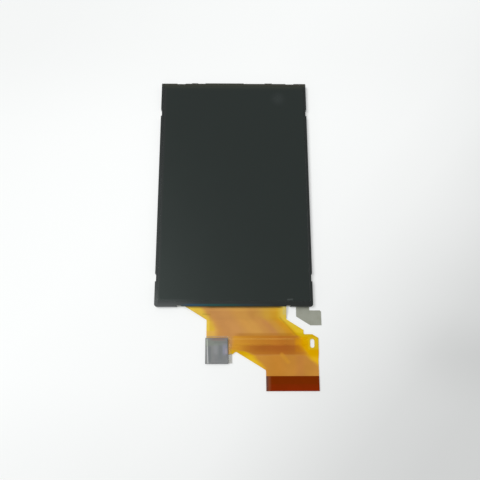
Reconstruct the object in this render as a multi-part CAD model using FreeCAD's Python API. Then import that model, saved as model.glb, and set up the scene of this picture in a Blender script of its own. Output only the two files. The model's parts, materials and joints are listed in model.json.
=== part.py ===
import FreeCAD, Part
import math
import os

# A small liquid crystal display lying on its back, in millimetres. +Z is its face, +X its right-hand
# side, and the flexible circuit leaves its lower edge towards -Y. The origin is the centre of the
# rear face, so z = 0 is the surface that the display lies on.

# Panel, over the folded steel rim
panel_width = 46.0
panel_length = 72.0
fold_clearance = 0.05
fold_radius = 0.10

# Thickness of each layer, from the rear to the face
chassis_steel = 0.15
reflector_thickness = 0.07
guide_thickness = 0.55
diffuser_thickness = 0.06
prism_thickness = 0.07
rim_tape_thickness = 0.06
rear_polarizer_thickness = 0.12
glass_thickness = 0.30
front_polarizer_thickness = 0.15

# Front bezel
bezel_steel = 0.15
rim_side = 0.85
rim_bottom = 1.50
flange_gap = 0.15
window_radius = 0.20
tongue_rise = 0.15
tongues = ((-12.4, 2.0), (-2.95, 12.25), (11.05, 2.3))
corner_relief = 0.30
top_corner_radius = 0.30
bottom_corner_radius = 0.65

# Notches in the rim
side_notch_places = (25.75, -27.5)
side_notch_width = 2.3
side_notch_depth = 0.30
top_notch_places = (-16.7, 17.85)
top_notch_width = 2.6
top_notch_depth = 0.20
bottom_notch_width = 1.2
bottom_notch_depth = 0.25

# Rear chassis
chassis_wall_height = 0.55
tooling_hole_radius = 0.60
tooling_hole_inset = 6.0
lug_setback = 0.99
lug_neck_width = 3.87
lug_neck_length = 2.72
lug_slant_width = 4.06
lug_length = 5.27
lug_width = 3.22
lug_step = 0.93
lug_chamfer = 0.35

# Snap hooks and their windows
bezel_hook_places = (-18.0, -3.0, 12.0)
chassis_hook_places = (-10.5, 4.5, 19.5)
hook_width = 2.6
bezel_hook_height = 0.32
chassis_hook_height = 0.22
hook_reach = 0.12
hook_clearance = 0.06

# Moulded frame
frame_wall = 0.30
frame_step_gap = 0.05
frame_top_gap = 0.03
shelf_width = 0.75
flex_sill_gap = 0.05

# Glass and films
glass_clearance = 0.05
glass_chamfer = 0.30
ledge_depth = 4.0
rear_polarizer_setback = 0.35
front_polarizer_gap = 0.04
film_clearance = 0.05
rim_tape_overlap = 0.40
rim_tape_foot = 1.0
ear_place = 10.0
ear_width = 4.0
ear_reach = 0.35
guide_entry_setback = 1.0
film_entry_setback = 0.25
polarizer_entry_setback = 0.45

# Light source
led_count = 6
led_length = 3.8
led_depth = 1.0
led_height = 0.60
led_end_margin = 5.2
led_lens_length = 3.0
led_lens_height = 0.36
led_lens_depth = 0.10
led_gap = 0.05
tooth_clearance = 0.30
led_flex_thickness = 0.10
led_flex_depth = 3.1
led_flex_margin = 1.1
led_tail_place = -5.5
led_tail_width = 4.0
led_tail_length = 7.6
led_flex_clearance = 0.08
led_tail_fillet = 0.50
solder_pitch = 2.0
solder_setback = 1.0
solder_radius = 0.35
solder_cap_radius = 0.55
solder_cap_height = 0.08

# Driver chip on the glass ledge
chip_length = 18.0
chip_width = 1.0
chip_thickness = 0.28
chip_setback = 0.45

# Flexible circuit. Its depths are measured below the panel's lower edge.
flex_thickness = 0.12
flex_bond_width = 2.1
flex_exit_half = 15.2
flex_slant_start = -0.68
flex_left = -7.85
flex_left_shoulder = 3.73
flex_body_bottom = 13.65
flex_body_right = -0.50
flex_foot_x = 0.60
flex_foot_depth = 12.80
flex_right_shoulder = 3.53
flex_ear_left = 20.1
flex_ear_right = 24.33
flex_ear_step = 6.62
flex_ear_top = 7.85
flex_ear_bottom = 13.2
flex_ear_run = 2.0
flex_ear_chamfer_x = 1.73
flex_ear_chamfer_y = 1.06
tail_left = 9.15
tail_shoulder = 18.01
tail_end = 23.78
flex_corner_radius = 0.40
flex_bend_start = 0.40
flex_bend_radius = 3.0
flex_bend_angle = 20.0
crease_places = (9.2, 10.9)
crease_run = 0.35
crease_rise = 0.08
slot_place = (22.51, 10.47)
slot_width = 1.22
slot_length = 2.53

# Contact end of the flexible circuit
contact_count = 49
contact_pitch = 0.30
contact_width = 0.18
contact_length = 3.0
contact_end_gap = 0.15
contact_thickness = 0.02
stiffener_length = 4.13
stiffener_thickness = 0.20

# Adhesive strip under the flexible circuit
tape_left = -0.25
tape_right = 18.95
tape_top = 8.4
tape_bottom = 13.75
tape_thickness = 0.08
tape_margin = 0.30

# Conductive gasket on the flexible circuit
gasket_right = -1.55
gasket_top = 8.95
gasket_width = 6.55
gasket_length = 7.31
gasket_height = 0.55
gasket_corner = 0.15
foil_thickness = 0.05
core_gap = 0.02
core_recess = 0.12
liner_thickness = 0.05
liner_left_inset = 0.5
liner_right_margin = 1.05
liner_top_margin = 0.4
liner_bottom_inset = 0.15
liner_radius = 1.0

# Sealing bead where the flexible circuit leaves the glass
bead_width = 0.30
bead_height = 0.24

# Levels, worked out from the layers
reflector_z = chassis_steel
guide_z = reflector_z + reflector_thickness
diffuser_z = guide_z + guide_thickness
lower_prism_z = diffuser_z + diffuser_thickness
upper_prism_z = lower_prism_z + prism_thickness
shelf_z = upper_prism_z + prism_thickness
rear_polarizer_z = shelf_z + rim_tape_thickness
filter_glass_z = rear_polarizer_z + rear_polarizer_thickness
tft_glass_z = filter_glass_z + glass_thickness
glass_top_z = tft_glass_z + glass_thickness
panel_top_z = glass_top_z + bezel_steel
flange_z = chassis_steel + flange_gap
frame_top_z = glass_top_z - frame_top_gap
chassis_wall_z = chassis_steel + chassis_wall_height
frame_step_z = chassis_wall_z + frame_step_gap
flex_bond_z = tft_glass_z - flex_thickness
flex_rest_z = chassis_steel + led_flex_thickness
flex_top_z = flex_rest_z + flex_thickness
liner_z = flex_top_z + crease_rise
gasket_z = liner_z + liner_thickness
led_z = chassis_steel + led_flex_thickness
led_pocket_z = led_z + fold_clearance

# Distances from the panel's outside faces, worked out from the walls
chassis_inset = bezel_steel + fold_clearance
chassis_inner_inset = chassis_inset + chassis_steel
frame_foot_inset = chassis_inner_inset + fold_clearance
frame_wall_inset = chassis_inset
pocket_inset = frame_wall_inset + frame_wall
glass_inset = pocket_inset + glass_clearance
shelf_inset = pocket_inset + shelf_width
guide_inset = shelf_inset + film_clearance
rim_tape_inset = shelf_inset + rim_tape_overlap
polarizer_inset = glass_inset + rear_polarizer_setback

# Places along the panel
half_width = panel_width / 2
half_length = panel_length / 2
top_y = half_length + tongue_rise
glass_bottom_y = glass_inset - half_length
filter_bottom_y = glass_bottom_y + ledge_depth
guide_bottom_y = filter_bottom_y + guide_entry_setback
led_front_y = guide_bottom_y - led_gap
led_back_y = led_front_y - led_depth
opening_bottom_y = led_back_y - led_gap
led_flex_back_y = led_front_y - led_flex_depth
bond_y = glass_bottom_y + flex_bond_width
tail_width = (contact_count + 1) * contact_pitch
tail_right = tail_left + tail_width
exit_half = flex_exit_half + bottom_notch_width
led_pitch = 2 * (half_width - guide_inset - led_end_margin) / (led_count - 1)
led_places = [led_pitch * (i - (led_count - 1) / 2) for i in range(led_count)]

# A cutter reaches this far past what it cuts
past = 1.0


def below(depth):
    """Y of a point that lies so far below the panel's lower edge."""
    return -half_length - depth


def span(centre, width):
    """Low and high value of a width about its centre."""
    return (centre - width / 2, centre + width / 2)


def block(x, y, z):
    """Box between the low and high value along each axis."""
    corner = FreeCAD.Vector(x[0], y[0], z[0])
    return Part.makeBox(x[1] - x[0], y[1] - y[0], z[1] - z[0], corner)


def plan_block(inset, z):
    """Box with the panel's plan, pulled in by inset on all sides."""
    x = half_width - inset
    y = half_length - inset
    return block((-x, x), (-y, y), z)


def closed_wire(steps, place):
    """Closed wire through points; a step of two points is an arc's middle and end."""
    edges = []
    here = steps[0]
    for step in steps[1:]:
        if isinstance(step[0], tuple):
            middle, end = step
            edges.append(Part.Arc(place(*here), place(*middle), place(*end)).toShape())
        else:
            end = step
            edges.append(Part.LineSegment(place(*here), place(*end)).toShape())
        here = end
    if here != steps[0]:
        edges.append(Part.LineSegment(place(*here), place(*steps[0])).toShape())
    return Part.Wire(edges)


def prism(steps, z):
    """Solid with an outline in plan, from its low to its high level."""
    wire = closed_wire(steps, lambda x, y: FreeCAD.Vector(x, y, z[0]))
    return Part.Face(wire).extrude(FreeCAD.Vector(0, 0, z[1] - z[0]))


def extrude_x(steps, x):
    """Solid with a section in Y and Z, run along X."""
    wire = closed_wire(steps, lambda y, z: FreeCAD.Vector(x[0], y, z))
    return Part.Face(wire).extrude(FreeCAD.Vector(x[1] - x[0], 0, 0))


def extrude_y(steps, y):
    """Solid with a section in X and Z, run along Y."""
    wire = closed_wire(steps, lambda x, z: FreeCAD.Vector(x, y[0], z))
    return Part.Face(wire).extrude(FreeCAD.Vector(0, y[1] - y[0], 0))


def stands_upright(edge, x, y):
    """Whether an edge runs along Z through the plan point."""
    ends = [vertex.Point for vertex in edge.Vertexes]
    return len(ends) == 2 and all(math.hypot(p.x - x, p.y - y) < 1e-4 for p in ends)


def round_corners(solid, corners, radius):
    """Solid with the upright edges at the plan points rounded."""
    edges = [e for e in solid.Edges if any(stands_upright(e, x, y) for x, y in corners)]
    return solid.makeFillet(radius, edges)


def round_block(x, y, z, radius):
    """Box with its four upright edges rounded."""
    corners = [(a, b) for a in x for b in y]
    return round_corners(block(x, y, z), corners, radius)


def round_level_edges(solid, level, radius):
    """Solid with every edge that lies at a level rounded."""
    edges = [e for e in solid.Edges if all(abs(v.Z - level) < 1e-6 for v in e.Vertexes)]
    return solid.makeFillet(radius, edges)


def outward(side, near, far):
    """Low and high X between two distances from the middle, on one side."""
    return tuple(sorted((side * near, side * far)))


def cut_all(solid, cutters):
    """Solid with every cutter taken away."""
    for cutter in cutters:
        solid = solid.cut(cutter)
    return solid


def side_notches(z):
    """Cutters for the notches in both long sides."""
    near = half_width - side_notch_depth
    cutters = []
    for centre in side_notch_places:
        for side in (-1, 1):
            x = outward(side, near, half_width + past)
            cutters.append(block(x, span(centre, side_notch_width), z))
    return cutters


def top_notches(z):
    """Cutters for the two shallow notches in the top edge."""
    y = (half_length - top_notch_depth, top_y + past)
    return [block(span(place, top_notch_width), y, z) for place in top_notch_places]


def bottom_notches(depth, z):
    """Cutters for the relief notches at both ends of the flexible circuit's exit."""
    y = (below(past), below(-depth))
    centre = flex_exit_half + bottom_notch_width / 2
    return [block(span(side * centre, bottom_notch_width), y, z) for side in (-1, 1)]


def corner_reliefs(inset, z):
    """Cutters that open the four corners of a folded tray."""
    x = half_width - inset - corner_relief
    y = half_length - inset - corner_relief
    cutters = []
    for side in (-1, 1):
        for end in (-1, 1):
            run = outward(side, x, half_width + past)
            rise = outward(end, y, top_y + past)
            cutters.append(block(run, rise, z))
    return cutters


def corner_nips(end, radius):
    """Cutters that punch both plan corners round at the top end, 1, or the lower end, -1."""
    x = half_width - radius
    y = half_length - radius
    z = (flange_z - past, panel_top_z + past)
    cutters = []
    for side in (-1, 1):
        corner = block(outward(side, x, half_width + past), outward(end, y, top_y + past), z)
        base = FreeCAD.Vector(side * x, end * y, z[0])
        cutters.append(corner.cut(Part.makeCylinder(radius, z[1] - z[0], base)))
    return cutters


def rim_body(inset, z):
    """The rim's plan with its raised tongues, pulled in by inset, as a solid."""
    body = plan_block(inset, z)
    for centre, width in tongues:
        run = span(centre, width - 2 * inset)
        body = body.fuse(block(run, (0, top_y - inset), z))
    return body.removeSplitter()


def hook_windows(places, face, z):
    """Cutters for the windows that the snap hooks of both long sides seat in."""
    width = hook_width + 2 * hook_clearance
    cutters = []
    for place in places:
        for side in (-1, 1):
            x = outward(side, face - past, face + past)
            cutters.append(block(x, span(place, width), z))
    return cutters


def hooks(places, face, flat_z, thin_z):
    """Snap hooks on both long sides: full reach at flat_z, nothing at thin_z."""
    root = face - fold_clearance
    wedges = []
    for place in places:
        for side in (-1, 1):
            tip = side * (face + hook_reach)
            section = [(side * root, flat_z), (tip, flat_z), (side * face, thin_z), (side * root, thin_z)]
            wedges.append(extrude_y(section, span(place, hook_width)))
    return wedges


def bezel_hook_levels():
    """Bottom and top of the hooks that hold the bezel."""
    low = frame_step_z + hook_clearance
    return low, low + bezel_hook_height


def chassis_hook_levels():
    """Bottom and top of the hooks that hold the chassis."""
    low = chassis_steel + hook_clearance + fold_clearance
    return low, low + chassis_hook_height


def front_bezel():
    """Black steel rim: a flat ring with folded sides, open corners, tongues and notches."""
    body = rim_body(0, (flange_z, panel_top_z))
    body = round_level_edges(body, panel_top_z, fold_radius)
    body = cut_all(body, corner_nips(1, top_corner_radius) + corner_nips(-1, bottom_corner_radius))
    under = (flange_z - past, glass_top_z)
    body = body.cut(rim_body(bezel_steel, under))
    x = half_width - rim_side
    y = (below(-rim_bottom), half_length - rim_side)
    body = body.cut(round_block((-x, x), y, (flange_z, panel_top_z + past), window_radius))
    through = (flange_z - past, panel_top_z + past)
    body = cut_all(body, side_notches(through) + top_notches(through))
    body = cut_all(body, bottom_notches(bottom_notch_depth, through))
    body = cut_all(body, corner_reliefs(bezel_steel, under))
    body = body.cut(block((-exit_half, exit_half), (below(past), below(-bezel_steel)), under))
    low, high = bezel_hook_levels()
    window = (low - hook_clearance, high + hook_clearance)
    return cut_all(body, hook_windows(bezel_hook_places, half_width, window))


def earth_lug():
    """Flat bare lug that runs on from the chassis floor past the panel's lower edge."""
    right = half_width - lug_setback
    left = right - lug_neck_width
    elbow = below(lug_neck_length)
    foot = below(lug_length)
    head_left = left + lug_slant_width
    head_right = head_left + lug_width
    shoulder = below(lug_step)
    steps = [(left, below(-past)), (left, elbow), (head_left, foot), (head_right, foot),
             (head_right, shoulder - lug_chamfer), (head_right - lug_chamfer, shoulder),
             (right, shoulder), (right, below(-past))]
    return prism(steps, (0, chassis_steel))


def rear_chassis():
    """Bare steel tray with low walls, snap windows, tooling holes and the earth lug."""
    body = plan_block(chassis_inset, (0, chassis_wall_z))
    body = round_level_edges(body, 0, fold_radius)
    above = (chassis_steel, chassis_wall_z + past)
    body = body.cut(plan_block(chassis_inner_inset, above))
    through = (-past, chassis_wall_z + past)
    body = cut_all(body, side_notches(through) + bottom_notches(bottom_notch_depth, through))
    body = cut_all(body, bottom_notches(frame_foot_inset, above))
    body = cut_all(body, corner_reliefs(chassis_inset, above))
    lower_wall = (below(past), below(-frame_foot_inset))
    tail = span(led_tail_place, led_tail_width + 2 * led_flex_clearance)
    lug_right = half_width - lug_setback
    lug_gap = (lug_right - lug_neck_width - corner_relief, lug_right + corner_relief)
    body = cut_all(body, [block(gap, lower_wall, above) for gap in (tail, lug_gap)])
    low, high = chassis_hook_levels()
    window = (low - hook_clearance, high + hook_clearance)
    body = cut_all(body, hook_windows(chassis_hook_places, half_width, window))
    hole_x = half_width - tooling_hole_inset
    hole_y = half_length - tooling_hole_inset
    for side in (-1, 1):
        base = FreeCAD.Vector(side * hole_x, -side * hole_y, -past)
        body = body.cut(Part.makeCylinder(tooling_hole_radius, chassis_steel + 2 * past, base))
    return body.fuse(earth_lug()).removeSplitter()


def ears(z, clearance):
    """Pair of locating ears at the films' sides, or their recesses when given a clearance."""
    reach = half_width - guide_inset + ear_reach + clearance
    width = ear_width + 2 * clearance
    return block((-reach, reach), span(ear_place, width), z)


def mold_frame():
    """White moulded frame: shelf for the films, pocket for the glass, teeth between the LEDs."""
    body = plan_block(frame_foot_inset, (chassis_steel, shelf_z))
    body = body.fuse(plan_block(frame_wall_inset, (frame_step_z, frame_top_z)))
    body = body.cut(plan_block(pocket_inset, (shelf_z, frame_top_z + past)))
    x = half_width - shelf_inset
    opening = block((-x, x), (opening_bottom_y, half_length - shelf_inset), (0, shelf_z))
    body = body.cut(opening).cut(ears((0, shelf_z), film_clearance))
    body = cut_all(body, led_flex_reliefs())
    sill = (flex_bond_z - flex_sill_gap, frame_top_z + past)
    body = body.cut(block((-exit_half, exit_half), (below(past), below(-pocket_inset)), sill))
    body = cut_all(body, side_notches((0, frame_top_z + past)))
    body = cut_all(body, bottom_notches(bottom_notch_depth, (0, frame_top_z + past)))
    low, high = bezel_hook_levels()
    parts = hooks(bezel_hook_places, half_width - frame_wall_inset, low, high)
    low, high = chassis_hook_levels()
    parts += hooks(chassis_hook_places, half_width - frame_foot_inset, high, low)
    parts += frame_teeth()
    for part in parts:
        body = body.fuse(part)
    return body.removeSplitter()


def led_flex_reliefs():
    """Cutters under the lower rail for the LED strip and its tail."""
    half = led_places[-1] + led_length / 2 + led_flex_margin + led_flex_clearance
    back = led_flex_back_y - led_flex_clearance
    z = (0, led_pocket_z)
    strip = block((-half, half), (back, opening_bottom_y + past), z)
    tail_x = span(led_tail_place, led_tail_width + 2 * led_flex_clearance)
    return [strip, block(tail_x, (below(past), back + past), z)]


def frame_teeth():
    """Teeth of the lower rail that reach between the LEDs to the light guide."""
    width = led_pitch - led_length - 2 * tooth_clearance
    y = (opening_bottom_y - fold_clearance, led_front_y)
    z = (led_pocket_z, diffuser_z)
    return [block(span(place + led_pitch / 2, width), y, z) for place in led_places[:-1]]


def film(level, thickness):
    """One optical film with its locating ears."""
    x = half_width - guide_inset
    y = (guide_bottom_y + film_entry_setback, half_length - guide_inset)
    z = (level, level + thickness)
    return block((-x, x), y, z).fuse(ears(z, 0)).removeSplitter()


def light_guide():
    """Clear light guide with its locating ears."""
    x = half_width - guide_inset
    y = (guide_bottom_y, half_length - guide_inset)
    z = (guide_z, diffuser_z)
    return block((-x, x), y, z).fuse(ears(z, 0)).removeSplitter()


def rim_tape():
    """Light-shielding tape on the shelf and the films' borders, wide over the LEDs."""
    x = half_width - glass_inset
    z = (shelf_z, rear_polarizer_z)
    body = block((-x, x), (opening_bottom_y - rim_tape_foot, half_length - glass_inset), z)
    inner = half_width - rim_tape_inset
    low = filter_bottom_y + guide_entry_setback + film_entry_setback + rim_tape_overlap
    return body.cut(block((-inner, inner), (low, half_length - rim_tape_inset), z))


def rear_polarizer():
    """Polarizing film on the rear of the colour filter glass."""
    x = half_width - polarizer_inset
    y = (filter_bottom_y + polarizer_entry_setback, half_length - polarizer_inset)
    return block((-x, x), y, (rear_polarizer_z, filter_glass_z))


def glass_sheet(bottom_y, z):
    """Sheet of glass in the frame's pocket, with its corners nipped off."""
    x = half_width - glass_inset
    y = half_length - glass_inset
    c = glass_chamfer
    steps = [(-x + c, bottom_y), (x - c, bottom_y), (x, bottom_y + c), (x, y - c), (x - c, y), (-x + c, y),
             (-x, y - c), (-x, bottom_y + c)]
    return prism(steps, z)


def front_polarizer():
    """Glossy face film inside the rim."""
    x = half_width - rim_side - front_polarizer_gap
    y = (below(-rim_bottom - front_polarizer_gap), half_length - rim_side - front_polarizer_gap)
    return round_block((-x, x), y, (glass_top_z, glass_top_z + front_polarizer_thickness), window_radius)


def driver_chip():
    """Long narrow driver chip bonded to the rear of the glass ledge."""
    high = filter_bottom_y - chip_setback
    z = (tft_glass_z - chip_thickness, tft_glass_z)
    return block(span(0, chip_length), (high - chip_width, high), z)


def led(place):
    """Side-emitting LED that faces the light guide, with a shallow lens window."""
    body = block(span(place, led_length), (led_back_y, led_front_y), (led_z, led_z + led_height))
    window = block(span(place, led_lens_length), (led_front_y - led_lens_depth, led_front_y + past),
                   span(led_z + led_height / 2, led_lens_height))
    return body.cut(window)


def solder_places():
    """Plan points of the LED tail's solder joints."""
    y = below(led_tail_length - solder_setback)
    return [(led_tail_place + side * solder_pitch / 2, y) for side in (-1, 1)]


def led_flex():
    """Thin circuit under the LEDs, with a tail that runs out beneath the main circuit."""
    half = led_places[-1] + led_length / 2 + led_flex_margin
    low, high = span(led_tail_place, led_tail_width)
    end = below(led_tail_length)
    steps = [(-half, led_flex_back_y), (low, led_flex_back_y), (low, end), (high, end),
             (high, led_flex_back_y), (half, led_flex_back_y), (half, led_front_y), (-half, led_front_y)]
    body = prism(steps, (chassis_steel, led_z))
    body = round_corners(body, [(low, led_flex_back_y), (high, led_flex_back_y)], 2 * led_flex_clearance)
    body = round_corners(body, [(low, end), (high, end)], led_tail_fillet)
    for x, y in solder_places():
        hole = Part.makeCylinder(solder_radius, led_flex_thickness, FreeCAD.Vector(x, y, chassis_steel))
        body = body.cut(hole)
    return body


def solder_joints():
    """Solder that fills the tail's plated holes, with a low cap underneath."""
    joints = []
    for x, y in solder_places():
        fill = Part.makeCylinder(solder_radius, led_flex_thickness, FreeCAD.Vector(x, y, chassis_steel))
        cap_base = FreeCAD.Vector(x, y, chassis_steel - solder_cap_height)
        cap = Part.makeCone(solder_radius, solder_cap_radius, solder_cap_height, cap_base)
        joints.append(fill.fuse(cap))
    return Part.makeCompound(joints)


def flex_section():
    """Section of the main circuit in Y and Z: bonded end, S-bend, flat run and crease."""
    angle = math.radians(flex_bend_angle)
    radius = flex_bend_radius
    t = flex_thickness
    drop = flex_bond_z - flex_rest_z
    slope = (drop - (2 * radius + t) * (1 - math.cos(angle))) / math.sin(angle)
    first = (below(flex_bend_start), flex_bond_z - radius)
    second_y = first[0] - (2 * radius + t) * math.sin(angle) - slope * math.cos(angle)
    second = (second_y, flex_top_z + radius)

    def on_first(r, a):
        return (first[0] - r * math.sin(a), first[1] + r * math.cos(a))

    def on_second(r, a):
        return (second[0] + r * math.sin(a), second[1] - r * math.cos(a))

    under = [(bond_y, flex_bond_z), on_first(radius, 0),
             (on_first(radius, angle / 2), on_first(radius, angle)), on_second(radius + t, angle),
             (on_second(radius + t, angle / 2), on_second(radius + t, 0))]
    over = [on_second(radius, 0), (on_second(radius, angle / 2), on_second(radius, angle)),
            on_first(radius + t, angle), (on_first(radius + t, angle / 2), on_first(radius + t, 0)),
            (bond_y, flex_bond_z + t)]
    end = below(tail_end)
    crease = crease_line()
    under += [(y, flex_rest_z + rise) for y, rise in crease] + [(end, flex_rest_z)]
    over = [(end, flex_top_z)] + [(y, flex_top_z + rise) for y, rise in reversed(crease)] + over
    return under + over


def crease_line():
    """Y and rise of the corners of the low crease across the circuit."""
    start, stop = (below(depth) for depth in crease_places)
    return [(start + crease_run / 2, 0), (start - crease_run / 2, crease_rise),
            (stop + crease_run / 2, crease_rise), (stop - crease_run / 2, 0)]


def flex_outline():
    """Plan outline of the main circuit."""
    return [(-flex_exit_half, bond_y), (-flex_exit_half, below(flex_slant_start)),
            (flex_left, below(flex_left_shoulder)), (flex_left, below(flex_body_bottom)),
            (flex_body_right, below(flex_body_bottom)), (flex_foot_x, below(flex_foot_depth)),
            (tail_left, below(tail_shoulder)), (tail_left, below(tail_end)), (tail_right, below(tail_end)),
            (tail_right, below(flex_ear_bottom + flex_ear_run)), (flex_ear_right, below(flex_ear_bottom)),
            (flex_ear_right, below(flex_ear_top + flex_ear_chamfer_y)),
            (flex_ear_right - flex_ear_chamfer_x, below(flex_ear_top)), (flex_ear_left, below(flex_ear_top)),
            (flex_ear_left, below(flex_ear_step)), (flex_exit_half, below(flex_right_shoulder)),
            (flex_exit_half, bond_y)]


def flex_blank():
    """Upright solid with the main circuit's outline, rounded inside corners and locating slot."""
    z = (0, panel_top_z)
    outline = flex_outline()
    blank = prism(outline, z)
    inside = [outline[i] for i in (2, 5, 6, 13, 15)]
    blank = round_corners(blank, inside, flex_corner_radius)
    return blank.cut(locating_slot(z))


def locating_slot(z):
    """Round-ended slot in the circuit's ear."""
    x, depth = slot_place
    radius = slot_width / 2
    y = below(depth)
    reach = slot_length / 2 - radius
    steps = [(x - radius, y - reach), ((x, y - reach - radius), (x + radius, y - reach)),
             (x + radius, y + reach), ((x, y + reach + radius), (x - radius, y + reach))]
    return prism(steps, z)


def main_flex():
    """Main flexible circuit, bent down from the glass to lie flat beside the panel."""
    sheet = extrude_x(flex_section(), (-flex_exit_half - past, flex_ear_right + past))
    return sheet.common(flex_blank())


def flex_stiffener():
    """Polyimide plate on top of the contact end."""
    y = (below(tail_end), below(tail_end - stiffener_length))
    return block((tail_left, tail_right), y, (flex_top_z, flex_top_z + stiffener_thickness))


def contact_fingers():
    """Row of gold contacts under the circuit's end."""
    low = below(tail_end - contact_end_gap)
    z = (flex_rest_z - contact_thickness, flex_rest_z)
    fingers = []
    for i in range(contact_count):
        x = tail_left + contact_pitch * (i + 1)
        fingers.append(block(span(x, contact_width), (low, low + contact_length), z))
    return Part.makeCompound(fingers)


def flex_tape():
    """Adhesive strip under the circuit, trimmed back from the circuit's edge."""
    z = (flex_rest_z - tape_thickness, flex_rest_z)
    strip = block((tape_left, tape_right), (below(tape_bottom), below(tape_top)), z)
    wire = closed_wire(flex_outline(), lambda x, y: FreeCAD.Vector(x, y, z[0]))
    inner = Part.Face(wire).makeOffset2D(-tape_margin)
    return strip.common(inner.extrude(FreeCAD.Vector(0, 0, tape_thickness)))


def gasket_section(inset):
    """Section of the gasket in X and Z: rolled left end, square right end with small radii."""
    left = gasket_right - gasket_width + inset
    right = gasket_right - inset
    low = gasket_z + inset
    high = gasket_z + gasket_height - inset
    roll = (high - low) / 2
    c = max(gasket_corner - inset, gasket_corner / 4)
    d = c * (1 - math.sqrt(0.5))
    start = (left + roll, low)
    return [start, (right - c, low), ((right - d, low + d), (right, low + c)), (right, high - c),
            ((right - d, high - d), (right - c, high)), (left + roll, high),
            ((left, (low + high) / 2), start)]


def gasket_foil():
    """Conductive cloth wrapped round the foam, open at both ends."""
    y = (below(gasket_top + gasket_length), below(gasket_top))
    return extrude_y(gasket_section(0), y).cut(extrude_y(gasket_section(foil_thickness), y))


def gasket_core():
    """Foam inside the wrap, a little short of its ends."""
    y = (below(gasket_top + gasket_length - core_recess), below(gasket_top + core_recess))
    return extrude_y(gasket_section(foil_thickness + core_gap), y)


def gasket_liner():
    """Translucent film under the gasket, with one round corner."""
    x = (gasket_right - gasket_width + liner_left_inset, gasket_right + liner_right_margin)
    y = (below(gasket_top + gasket_length - liner_bottom_inset), below(gasket_top - liner_top_margin))
    sheet = block(x, y, (liner_z, gasket_z))
    return round_corners(sheet, [(x[1], y[1])], liner_radius)


def slant_x(y):
    """X of the circuit's slanted left edge at a place along the panel."""
    start = below(flex_slant_start)
    stop = below(flex_left_shoulder)
    return -flex_exit_half + (flex_left + flex_exit_half) * (y - start) / (stop - start)


def edge_sealant():
    """Bead along the glass edge on top of the circuit."""
    low = glass_bottom_y - bead_width
    high = tft_glass_z + bead_height
    swell = math.sqrt(0.5)
    bulge = (glass_bottom_y - swell * bead_width, tft_glass_z + swell * bead_height)
    section = [(glass_bottom_y, tft_glass_z), (glass_bottom_y, high), (bulge, (low, tft_glass_z))]
    return extrude_x(section, (slant_x(low), flex_exit_half))


def all_nodes():
    """Every sub-part by its node's name."""
    nodes = {
        "rear_chassis": rear_chassis(),
        "reflector_sheet": film(reflector_z, reflector_thickness),
        "light_guide": light_guide(),
        "diffuser_sheet": film(diffuser_z, diffuser_thickness),
        "lower_prism_sheet": film(lower_prism_z, prism_thickness),
        "upper_prism_sheet": film(upper_prism_z, prism_thickness),
        "mold_frame": mold_frame(),
        "rim_tape": rim_tape(),
        "rear_polarizer": rear_polarizer(),
        "color_filter_glass": glass_sheet(filter_bottom_y, (filter_glass_z, tft_glass_z)),
        "tft_glass": glass_sheet(glass_bottom_y, (tft_glass_z, glass_top_z)),
        "front_polarizer": front_polarizer(),
        "front_bezel": front_bezel(),
        "driver_chip": driver_chip(),
        "led_flex": led_flex(),
        "solder_joints": solder_joints(),
        "main_flex": main_flex(),
        "flex_stiffener": flex_stiffener(),
        "contact_fingers": contact_fingers(),
        "flex_tape": flex_tape(),
        "gasket_foil": gasket_foil(),
        "gasket_core": gasket_core(),
        "gasket_liner": gasket_liner(),
        "edge_sealant": edge_sealant(),
    }
    for number, place in enumerate(led_places, start=1):
        nodes[f"led_{number}"] = led(place)
    return nodes


def main():
    os.makedirs("parts", exist_ok=True)
    for name, shape in all_nodes().items():
        shape.exportStep(f"parts/{name}.step")


main()
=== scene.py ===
import json
import math

import bmesh
import bpy
from mathutils import Matrix, Vector, noise


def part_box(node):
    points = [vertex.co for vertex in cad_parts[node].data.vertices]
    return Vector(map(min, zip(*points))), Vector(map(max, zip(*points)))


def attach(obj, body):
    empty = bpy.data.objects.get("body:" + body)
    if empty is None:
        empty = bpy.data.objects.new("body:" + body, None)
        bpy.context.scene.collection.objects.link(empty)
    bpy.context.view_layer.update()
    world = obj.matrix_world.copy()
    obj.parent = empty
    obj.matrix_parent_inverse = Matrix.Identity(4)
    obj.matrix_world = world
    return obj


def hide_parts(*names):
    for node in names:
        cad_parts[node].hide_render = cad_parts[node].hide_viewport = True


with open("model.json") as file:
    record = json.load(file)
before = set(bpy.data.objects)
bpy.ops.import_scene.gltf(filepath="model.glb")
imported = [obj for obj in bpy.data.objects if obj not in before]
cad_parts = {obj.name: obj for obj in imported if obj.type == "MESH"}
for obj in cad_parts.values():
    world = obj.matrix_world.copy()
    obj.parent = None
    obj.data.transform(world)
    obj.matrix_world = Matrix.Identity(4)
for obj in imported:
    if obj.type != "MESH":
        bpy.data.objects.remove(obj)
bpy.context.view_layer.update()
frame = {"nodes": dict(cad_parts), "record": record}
nodes = frame["nodes"]

# The finishes work in millimetres, in the part's own frame. The pieces are in metres. Colours are
# linear, or come through srgb() from what a screen shows.
MM = 0.001

# Range that a noise texture mostly stays in
noise_low = 0.3
noise_high = 0.7

# Least squared length of a stroke, which leaves a stroke from a point to itself a round spot
least_run = 1e-9

# Sockets of a mix node that mixes colours
mix_share, mix_first, mix_second, mix_result = 0, 6, 7, 2

# Camera, in millimetres and degrees: at the photograph's place, above and past the circuit's free end,
# and tilted towards the panel
camera_place = (-0.27, -65.20, 175.16)
camera_pitch = 15.812
camera_roll = -0.679
camera_turn = 0.036
camera_sensor = 36.0
camera_lens = 45.394
camera_near = 0.005

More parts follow.
